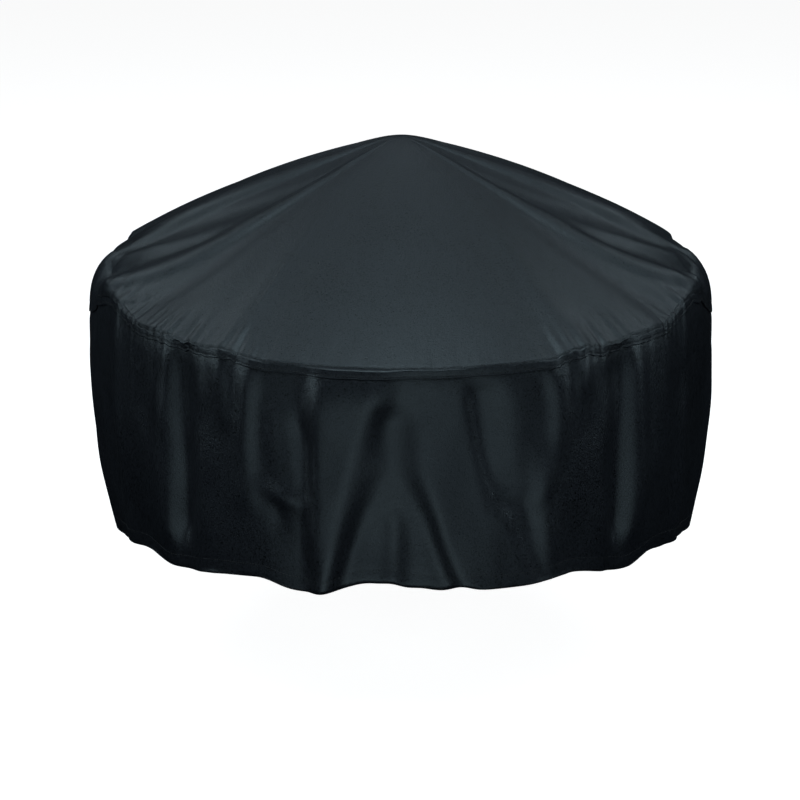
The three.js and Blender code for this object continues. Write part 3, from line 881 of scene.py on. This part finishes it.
def make_top():
    """The chain of rings: outer face, one ring round the lip's edge, inner face."""
    outer_places, inner_places = TOP_OUTER[:, None], TOP_INNER[::-1, None]
    round_edge = np.array([[LIP_EDGE + LIP_ROUNDING / HEM_DROP]])
    outer = offset_points(outer_places, angles[None, :], top_offsets(outer_places))
    edge = offset_points(round_edge, angles[None, :], PIECE_GAP + LIP_FLARE + LIP_THICKNESS / 2)
    inner = offset_points(inner_places, angles[None, :], lip_flare(inner_places))
    flat_outer = cut_flat_disc(outer)
    nearest = np.interp(TOP_INNER[::-1], TOP_OUTER, np.arange(len(TOP_OUTER))).round().astype(int)
    flat = np.concatenate([flat_outer, flat_outer[-1:] * EDGE_STRETCH, flat_outer[nearest]])
    poles = [np.array([0, 0, PEAK_HEIGHT + offset]) for offset in (PIECE_GAP + CLOTH, PIECE_GAP)]
    return ring_mesh("top_cloth", np.concatenate([outer, edge, inner]), flat, poles=poles)


top_cloth = make_top()
print("top", len(top_cloth.data.polygons), "faces")

# %% [markdown]
# The skirt is one strip of the same cloth, sewn into a ring. Its upper edge is tucked under the lip and
# pressed in there, and it springs out a little where the lip lets go of it. Its lower edge is turned up
# inside as the hem. The strip could end at the seam, but then the lip would have nothing under it, and
# from below one would see a gap.

# %% The skirt panel's rings
HEM_STITCH_RISE = 15
HEM_STITCH_ROW = HEM - HEM_STITCH_RISE / HEM_DROP
UNDER_LIP = 0.8
UNDER_LIP_EASE = 0.012
UNDER_LIP_GONE_INSIDE = 2.1
PUFF = 0.8
PUFF_FULL, PUFF_GONE = 2.07, 2.35

SKIRT_OUTER = spaced(
    (TUCKED_EDGE, 4), (SEAM, 4), (LIP_EDGE, 12), (2.25, 34), (2.9, 8), (HEM, 10), (3.7, 2), (HEM_EDGE, 0)
)
SKIRT_INNER = spaced(
    (TUCKED_EDGE, 2), (SEAM, 2), (LIP_EDGE, 6), (2.25, 16), (2.9, 4), (HEM, 8), (3.7, 2), (HEM_EDGE, 0)
)
print("rings on the skirt's outer and inner face", len(SKIRT_OUTER), len(SKIRT_INNER))

# %% The skirt panel
def puffed(places):
    """The skirt springs out a little where the lip lets go of it, and falls back further down."""
    return PUFF * smoothstep(places, LIP_EDGE, PUFF_FULL) * (1 - smoothstep(places, PUFF_FULL, PUFF_GONE))


def skirt_outer_offsets(places):
    """The puff, less the depth under the lip, less the groove of the hem's stitches."""
    tucked = UNDER_LIP * (1 - smoothstep(places, LIP_EDGE - UNDER_LIP_EASE, LIP_EDGE))
    from_row = (places - HEM_STITCH_ROW) * HEM_DROP / STITCH_WIDE
    return puffed(places) - tucked - STITCH_SINK * np.exp(-(from_row**2))


def skirt_inner_offsets(places):
    """The puff, less the cloth's thickness, less the depth under the lip, which ends lower down here."""
    tucked = UNDER_LIP * (1 - smoothstep(places, LIP_EDGE, UNDER_LIP_GONE_INSIDE))
    return puffed(places) - CLOTH - tucked


def make_skirt():
    """The chain of rings: outer face, hem's cut edge, inner face, and back over the tucked edge."""
    outer_places, inner_places = SKIRT_OUTER[:, None], SKIRT_INNER[::-1, None]
    outer = offset_points(outer_places, angles[None, :], skirt_outer_offsets(outer_places))
    inner = offset_points(inner_places, angles[None, :], skirt_inner_offsets(inner_places))
    down = np.concatenate([outer_places, inner_places])
    flat = np.stack(np.broadcast_arrays(*skirt_flat(closed_angles[None, :], down)), -1) * MM
    return ring_mesh("skirt_cloth", np.concatenate([outer, inner]), flat, closes=True)


skirt_cloth = make_skirt()
print("skirt", len(skirt_cloth.data.polygons), "faces")

# %% [markdown]
# Two rows of stitches hold the lap at the rim, one above the seam and one on the lip, and one row holds
# the hem. A dashed line in the cloth's texture would do from far away, but real thread stands proud and
# catches the light, so every stitch is a short six-sided thread that follows the cloth and dives into
# it at both ends. All the stitches of a row are worked out at once.

# %% The points of a row of stitches
STITCH_PITCH = 4
STITCH_LENGTH = 3.2
THREAD_RADIUS = 0.27
STITCH_SIDES = 6
STATIONS = np.array([-1, -0.8, 0, 0.8, 1])
STATION_RADII = np.array([0.3, 0.9, 1, 0.9, 0.3])
STATION_RISE = np.array([-0.3, 0.05, 0.15, 0.05, -0.3])


def stitch_row(place_at, offset_at):
    """The points of a row's stitches, as an array of stitch, station, side and axis. place_at and
    offset_at give the row's place and its distance from the cloth line at an array of angles. Each
    section is a circle, cos(side) x the way outwards + sin(side) x the way across the stitch."""
    count = round(2 * np.pi * RIM_RADIUS / STITCH_PITCH)
    middle = np.arange(count) * 360 / count
    half = math.degrees(STITCH_LENGTH / 2 / RIM_RADIUS)
    angle = middle[:, None] + STATIONS[None, :] * half
    place = place_at(angle)
    offset = offset_at(place) + STATION_RISE[None, :]
    spine = offset_points(place, angle, offset)
    outward = spine - offset_points(place, angle, offset - 1)
    along = np.broadcast_to((spine[:, -1] - spine[:, 0])[:, None], spine.shape)
    sideways = np.cross(along, outward)
    sideways /= np.linalg.norm(sideways, axis=-1, keepdims=True)
    side = 2 * np.pi * np.arange(STITCH_SIDES) / STITCH_SIDES
    radius = THREAD_RADIUS * STATION_RADII[None, :, None, None]
    section = np.cos(side)[:, None] * outward[:, :, None] + np.sin(side)[:, None] * sideways[:, :, None]
    return spine[:, :, None] + radius * section


print("stitches in a row", round(2 * np.pi * RIM_RADIUS / STITCH_PITCH))

# %% Stitches as one mesh
def stitch_piece(name, rows_of_points):
    """One mesh of all the stitches: squares between stations and a six-sided cap at each end."""
    points = np.concatenate(rows_of_points)
    count, stations = points.shape[:2]
    first = np.arange(count)[:, None, None] * stations * STITCH_SIDES
    station = np.arange(stations - 1)[None, :, None] * STITCH_SIDES
    side = np.arange(STITCH_SIDES)[None, None, :]
    here = first + station
    beside = (side + 1) % STITCH_SIDES
    corners = [here + side, here + STITCH_SIDES + side, here + STITCH_SIDES + beside, here + beside]
    squares = np.stack(np.broadcast_arrays(*corners), -1).reshape(-1, 4)
    start_cap = (first + side).reshape(-1, STITCH_SIDES)
    end_cap = (first + (stations - 1) * STITCH_SIDES + side[..., ::-1]).reshape(-1, STITCH_SIDES)
    mesh = bpy.data.meshes.new(name)
    vertices = in_row_frame(points.reshape(-1, 3))
    mesh.from_pydata(vertices.tolist(), [], squares.tolist() + start_cap.tolist() + end_cap.tolist())
    return new_piece(name, mesh)


print("a stitch has", len(STATIONS) * STITCH_SIDES, "corners")

# %% Where the rows run
def rim_row_place(row):
    """A function of the angle: the place of a row this many millimetres below the seam."""
    return lambda angle: SEAM + row / np.where(row < 0, rim_roll(angle), HEM_DROP)


def hem_row_place(angle):
    """The same place at every angle."""
    return np.full(angle.shape, HEM_STITCH_ROW)


def on_lip(place):
    """The bottom of a groove in the lip."""
    return lip_flare(place) + LIP_THICKNESS - STITCH_SINK


def on_skirt(place):
    """The bottom of the groove above the hem."""
    return np.full(place.shape, -STITCH_SINK)


rim_rows = [stitch_row(rim_row_place(row), on_lip) for row in RIM_STITCH_ROWS]
rim_stitches = stitch_piece("rim_stitches", rim_rows)
hem_stitches = stitch_piece("hem_stitches", [stitch_row(hem_row_place, on_skirt)])
print("stitch faces", len(rim_stitches.data.polygons), len(hem_stitches.data.polygons))

# %% [markdown]
# The cloth is a fine plain weave with a dull, slightly shiny coating, almost black with a breath of blue
# green. Most of what one sees of it is its gloss, so its roughness matters more than its colour. A
# photograph of cloth would repeat, and blur close up, so the pattern is made by nodes. The weave lies in
# the cut cloth's own coordinates, while the coat's grain is a noise in space, which has no seams.

# %% Helpers for shader nodes
def add_node(tree, kind, **settings):
    """A new shader node with its properties and its inputs' values set by name."""
    node = tree.nodes.new(kind)
    for key, value in settings.items():
        if key in node.inputs.keys():
            node.inputs[key].default_value = value
        else:
            setattr(node, key, value)
    return node


def maths(tree, operation, first, second=None):
    """A Math node, whose inputs are numbers or other nodes' outputs."""
    node = add_node(tree, "ShaderNodeMath", operation=operation)
    for socket, value in zip(node.inputs, (first, second)):
        if isinstance(value, bpy.types.NodeSocket):
            tree.links.new(value, socket)
        elif value is not None:
            socket.default_value = value
    return node.outputs[0]


def noise(tree, coordinates, scale, detail, roughness):
    """A noise texture at the given coordinates."""
    node = add_node(tree, "ShaderNodeTexNoise", Scale=scale, Detail=detail, Roughness=roughness)
    tree.links.new(coordinates, node.inputs["Vector"])
    return node.outputs[0]


def weighted_sum(tree, *terms):
    """The sum of the terms, each an output and its weight."""
    total = None
    for output, weight in terms:
        term = maths(tree, "MULTIPLY", output, weight)
        total = term if total is None else maths(tree, "ADD", total, term)
    return total


def new_material(name):
    """A material with a node tree, and the tree's shader."""
    material = bpy.data.materials.new(name)
    material.use_nodes = True
    return material, material.node_tree.nodes["Principled BSDF"]


print("helpers for", bpy.app.version_string, "shader nodes")

# %% The weave and its yarns
YARN_PITCH = 0.0009
YARN_NOISE_SCALE = 700
YARN_DRAWN_OUT = 0.06


def plain_weave(tree, cut):
    """sin(pi x / pitch) x sin(pi y / pitch) on the cut cloth: the chequer of yarns going over and under."""
    parts = add_node(tree, "ShaderNodeSeparateXYZ")
    tree.links.new(cut, parts.inputs[0])
    phases = [maths(tree, "MULTIPLY", parts.outputs[axis], math.pi / YARN_PITCH) for axis in (0, 1)]
    return maths(tree, "MULTIPLY", *[maths(tree, "SINE", phase) for phase in phases])


def uneven_yarns(tree, cut):
    """The sum of two noises, one drawn out along the warp and one along the weft."""
    yarns = []
    for stretch in ((1, YARN_DRAWN_OUT, 1), (YARN_DRAWN_OUT, 1, 1)):
        drawn = add_node(tree, "ShaderNodeMapping", vector_type="POINT")
        drawn.inputs["Scale"].default_value = stretch
        tree.links.new(cut, drawn.inputs[0])
        yarns.append(noise(tree, drawn.outputs[0], YARN_NOISE_SCALE, detail=2, roughness=0.6))
    return maths(tree, "ADD", *yarns)


print("yarns to the centimetre", round(0.01 / YARN_PITCH, 1))

# %% The coat's colour and gloss
NEAR_BLACK = (0.0038, 0.0043, 0.0056)
DARK_GRAIN, PALE_GRAIN = 0.25, 3.6
DARK_GRAIN_AT, PALE_GRAIN_AT = 0.78, 1.22
COAT_IN_TONE, SLOW_IN_TONE = 1.6, 0.4
LEAST_ROUGHNESS = 0.1
COAT_IN_ROUGHNESS, SLOW_IN_ROUGHNESS = 0.42, 0.1


def coat_colour(tree, coat, slow):
    """A ramp from dark to pale grains over a weighted sum of fine and slow noise."""
    ramp = add_node(tree, "ShaderNodeValToRGB")
    stops = [(DARK_GRAIN_AT, DARK_GRAIN), (PALE_GRAIN_AT, PALE_GRAIN)]
    for element, (position, share) in zip(ramp.color_ramp.elements, stops):
        element.position = position
        element.color = (*[part * share for part in NEAR_BLACK], 1)
    tree.links.new(weighted_sum(tree, (coat, COAT_IN_TONE), (slow, SLOW_IN_TONE)), ramp.inputs[0])
    return ramp.outputs[0]


def coat_roughness(tree, coat, slow):
    """The least roughness + a weighted sum of fine and slow noise."""
    uneven = weighted_sum(tree, (slow, SLOW_IN_ROUGHNESS), (coat, COAT_IN_ROUGHNESS))
    return maths(tree, "ADD", uneven, LEAST_ROUGHNESS)


MOST_ROUGHNESS = LEAST_ROUGHNESS + COAT_IN_ROUGHNESS + SLOW_IN_ROUGHNESS
print("roughness between", LEAST_ROUGHNESS, "and", round(MOST_ROUGHNESS, 2))

# %% The relief and the whole finish
WEAVE_IN_RELIEF, YARN_IN_RELIEF, COAT_IN_RELIEF = 0.5, 0.6, 1.2
BLUE_GREEN_SHEEN = (0.8, 0.95, 1, 1)


def cloth_relief(tree, cut, coat, grain):
    """Two bumps on top of each other: weave, yarns and coat, and coarser crinkles."""
    terms = [(plain_weave(tree, cut), WEAVE_IN_RELIEF), (uneven_yarns(tree, cut), YARN_IN_RELIEF)]
    relief = weighted_sum(tree, *terms, (coat, COAT_IN_RELIEF))
    woven = add_node(tree, "ShaderNodeBump", Strength=0.35, Distance=0.0003)
    tree.links.new(relief, woven.inputs["Height"])
    crinkled = add_node(tree, "ShaderNodeBump", Strength=0.5, Distance=0.0007)
    tree.links.new(grain, crinkled.inputs["Height"])
    tree.links.new(woven.outputs[0], crinkled.inputs["Normal"])
    return crinkled.outputs[0]


def cloth_finish():
    """Near-black coated cloth: colour and gloss from the coat's noises, normals from its relief."""
    material, shader = new_material("coated_cloth")
    tree = material.node_tree
    cut = add_node(tree, "ShaderNodeUVMap", uv_map=CUT_MAP).outputs[0]
    space = add_node(tree, "ShaderNodeTexCoord").outputs["Object"]
    slow = noise(tree, space, scale=5, detail=4, roughness=0.6)
    coat = noise(tree, space, scale=520, detail=2, roughness=0.7)
    grain = noise(tree, space, scale=260, detail=3, roughness=0.65)
    tree.links.new(coat_colour(tree, coat, slow), shader.inputs["Base Color"])
    tree.links.new(coat_roughness(tree, coat, slow), shader.inputs["Roughness"])
    tree.links.new(cloth_relief(tree, cut, coat, grain), shader.inputs["Normal"])
    shader.inputs["Specular Tint"].default_value = BLUE_GREEN_SHEEN
    return material


cloth_material = cloth_finish()
for piece in (top_cloth, skirt_cloth):
    piece.data.materials.append(cloth_material)
print("nodes in the cloth's finish", len(cloth_material.node_tree.nodes))

# %% [markdown]
# Covers like this one are sewn with spun polyester thread, dull and a little lighter than the cloth. Its
# strands could be modelled one by one, but the thread is half a millimetre thick, so a fine slanted wave
# in the bump is enough for its twist.

# %% The thread's finish
THREAD_BLACK = (0.012, 0.015, 0.017, 1)
THREAD_ROUGHNESS = 0.55
TWIST_SCALE = 900


def thread_finish():
    """A plain dull colour with a slanted wave as bump."""
    material, shader = new_material("spun_thread")
    tree = material.node_tree
    shader.inputs["Base Color"].default_value = THREAD_BLACK
    shader.inputs["Roughness"].default_value = THREAD_ROUGHNESS
    space = add_node(tree, "ShaderNodeTexCoord").outputs["Object"]
    twist = add_node(tree, "ShaderNodeTexWave", Scale=TWIST_SCALE, Distortion=0)
    twist.wave_type, twist.bands_direction = "BANDS", "DIAGONAL"
    tree.links.new(space, twist.inputs["Vector"])
    bump = add_node(tree, "ShaderNodeBump", Strength=0.5, Distance=0.0001)
    tree.links.new(twist.outputs["Fac"], bump.inputs["Height"])
    tree.links.new(bump.outputs[0], shader.inputs["Normal"])
    return material


thread_material = thread_finish()
for piece in (rim_stitches, hem_stitches):
    piece.data.materials.append(thread_material)
print("nodes in the thread's finish", len(thread_material.node_tree.nodes))

# %% [markdown]
# The camera looks slightly down on the cover from 3 m away. A wide lens nearer by would show it whole
# too, but it would swell the front of the skirt, so the lens is a long one.

# %% The camera
CAMERA_AT = (-0.0021, -2.8978, 0.5772)
CAMERA_DOWN = 18.19
LENS, SENSOR = 97.6, 36

camera = bpy.data.objects.new("camera", bpy.data.cameras.new("camera"))
camera.location = CAMERA_AT
camera.rotation_euler = (math.radians(90 - CAMERA_DOWN), 0, 0)
camera.data.lens, camera.data.sensor_width = LENS, SENSOR
bpy.context.scene.collection.objects.link(camera)
bpy.context.scene.camera = camera
print("angle of view", round(math.degrees(camera.data.angle), 1), "degrees")

# %% [markdown]
# Nearly black cloth shows little of its own colour: what one sees is where the lights mirror dully in
# it. One large light or a white room would make it an even grey, so there are many soft lights, each
# placed for the faces that mirror it, on a sphere of 3 m radius. Those overhead, behind and high in
# front give the top its even sheen, and those at the sides draw out its ridges. The low ones in front
# shine up from below the skirt and pick out the facets that face forwards, while the flanks of its
# folds stay black.

# %% Soft lights
COOL = (0.86, 1.0, 1.07)
LIGHT_DISTANCE = 3.0
TOP_MIDDLE = np.array([0, 0, -0.1])


def soft_light(name, angle, height, wide, tall, watts):
    """A rectangular area light at an angle round the cover and degrees above level, aimed at the top."""
    lamp = bpy.data.lights.new(name, "AREA")
    lamp.shape, lamp.size, lamp.size_y = "RECTANGLE", wide, tall
    lamp.energy, lamp.color = watts, COOL
    turn, rise = math.radians(angle), math.radians(height)
    way = np.array([math.sin(turn) * math.cos(rise), -math.cos(turn) * math.cos(rise), math.sin(rise)])
    at = TOP_MIDDLE + LIGHT_DISTANCE * way
    holder = bpy.data.objects.new(name, lamp)
    holder.location = at
    holder.rotation_euler = (Vector(TOP_MIDDLE) - Vector(at)).to_track_quat("-Z", "Y").to_euler()
    holder.visible_camera = False
    bpy.context.scene.collection.objects.link(holder)


# Name, angle, degrees above level, width and height in metres, watts
LIGHTS = [
    ("overhead", 180, 88, 3.2, 2.8, 17),
    ("back", 180, 44, 1.4, 0.7, 2.6),
    ("back left", -150, 38, 1.4, 1.0, 0.8),
    ("back right", 150, 38, 1.4, 1.0, 0.8),
    ("side left", -118, 40, 1.3, 1.0, 9),
    ("side right", 118, 40, 1.3, 1.0, 8),
    ("front high", 0, 60, 1.8, 1.3, 36),
    ("front floor", 0, -27, 1.6, 1.9, 9.5),
    ("floor left", -28, -25, 0.8, 1.4, 2.5),
    ("floor right", 28, -25, 0.8, 1.4, 2.5),
    ("left", -75, 8, 1.1, 0.9, 13),
    ("right", 75, 8, 1.1, 0.9, 12),
    ("left high", -85, 35, 1.3, 1.0, 4),
    ("right high", 85, 35, 1.3, 1.0, 4),
]
for light in LIGHTS:
    soft_light(*light)
print("soft lights", len(LIGHTS))

# %% [markdown]
# The cover is shown over a plain, nearly white floor before white surroundings. A floor that the lights
# have to make white would throw their light back at the cloth, so this one glows by itself and is
# hidden from the cloth, and the surroundings are white for the camera and nearly dark for the cloth.

# %% The floor
FLOOR_LEVEL = -0.70
FLOOR_HALF = 12
FLOOR_GREY = (0.8, 0.8, 0.8, 1)
WHITE = (1, 1, 1, 1)
FLOOR_GLOW = 0.93


def pale_floor():
    """A wide square of nearly white floor, far larger than the view."""
    mesh = bpy.data.meshes.new("floor")
    ways = ((-1, -1), (1, -1), (1, 1), (-1, 1))
    mesh.from_pydata([(x * FLOOR_HALF, y * FLOOR_HALF, FLOOR_LEVEL) for x, y in ways], [], [(0, 1, 2, 3)])
    floor = bpy.data.objects.new("floor", mesh)
    bpy.context.scene.collection.objects.link(floor)
    material, shader = new_material("pale_floor")
    shader.inputs["Base Color"].default_value = FLOOR_GREY
    shader.inputs["Roughness"].default_value = 0.9
    shader.inputs["Specular IOR Level"].default_value = 0
    shader.inputs["Emission Color"].default_value = WHITE
    shader.inputs["Emission Strength"].default_value = FLOOR_GLOW
    mesh.materials.append(material)
    floor.visible_diffuse = floor.visible_glossy = floor.visible_shadow = False
    return floor


floor = pale_floor()
print("floor at", round(floor.data.vertices[0].co.z, 3), "m")

# %% The white surroundings
UNSEEN_GLOW, SEEN_GLOW = 0.0002, 1.0

world = bpy.data.worlds.new("studio")
bpy.context.scene.world = world
world.use_nodes = True
background = world.node_tree.nodes["Background"]
background.inputs["Color"].default_value = WHITE
seen = add_node(world.node_tree, "ShaderNodeLightPath")
glow = add_node(world.node_tree, "ShaderNodeMapRange")
glow.inputs["To Min"].default_value = UNSEEN_GLOW
glow.inputs["To Max"].default_value = SEEN_GLOW
world.node_tree.links.new(seen.outputs["Is Camera Ray"], glow.inputs["Value"])
world.node_tree.links.new(glow.outputs[0], background.inputs["Strength"])
bpy.context.scene.view_settings.view_transform = "Standard"
print("surroundings glow for the camera and for the cloth", SEEN_GLOW, UNSEEN_GLOW)

# %% [markdown]
# The four pieces ride on the cover's one body, and the two sheets stand for their solids, which are hidden.

# %% Attach the pieces to the body and hide the solids
CUT_PIECES = [(top_cloth, "top_panel", "top_cloth"), (skirt_cloth, "skirt_panel", "skirt_cloth")]
for piece, node, cut_slot in CUT_PIECES:
    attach(piece, "root")
    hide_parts(node)
for piece in (rim_stitches, hem_stitches):
    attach(piece, "root")
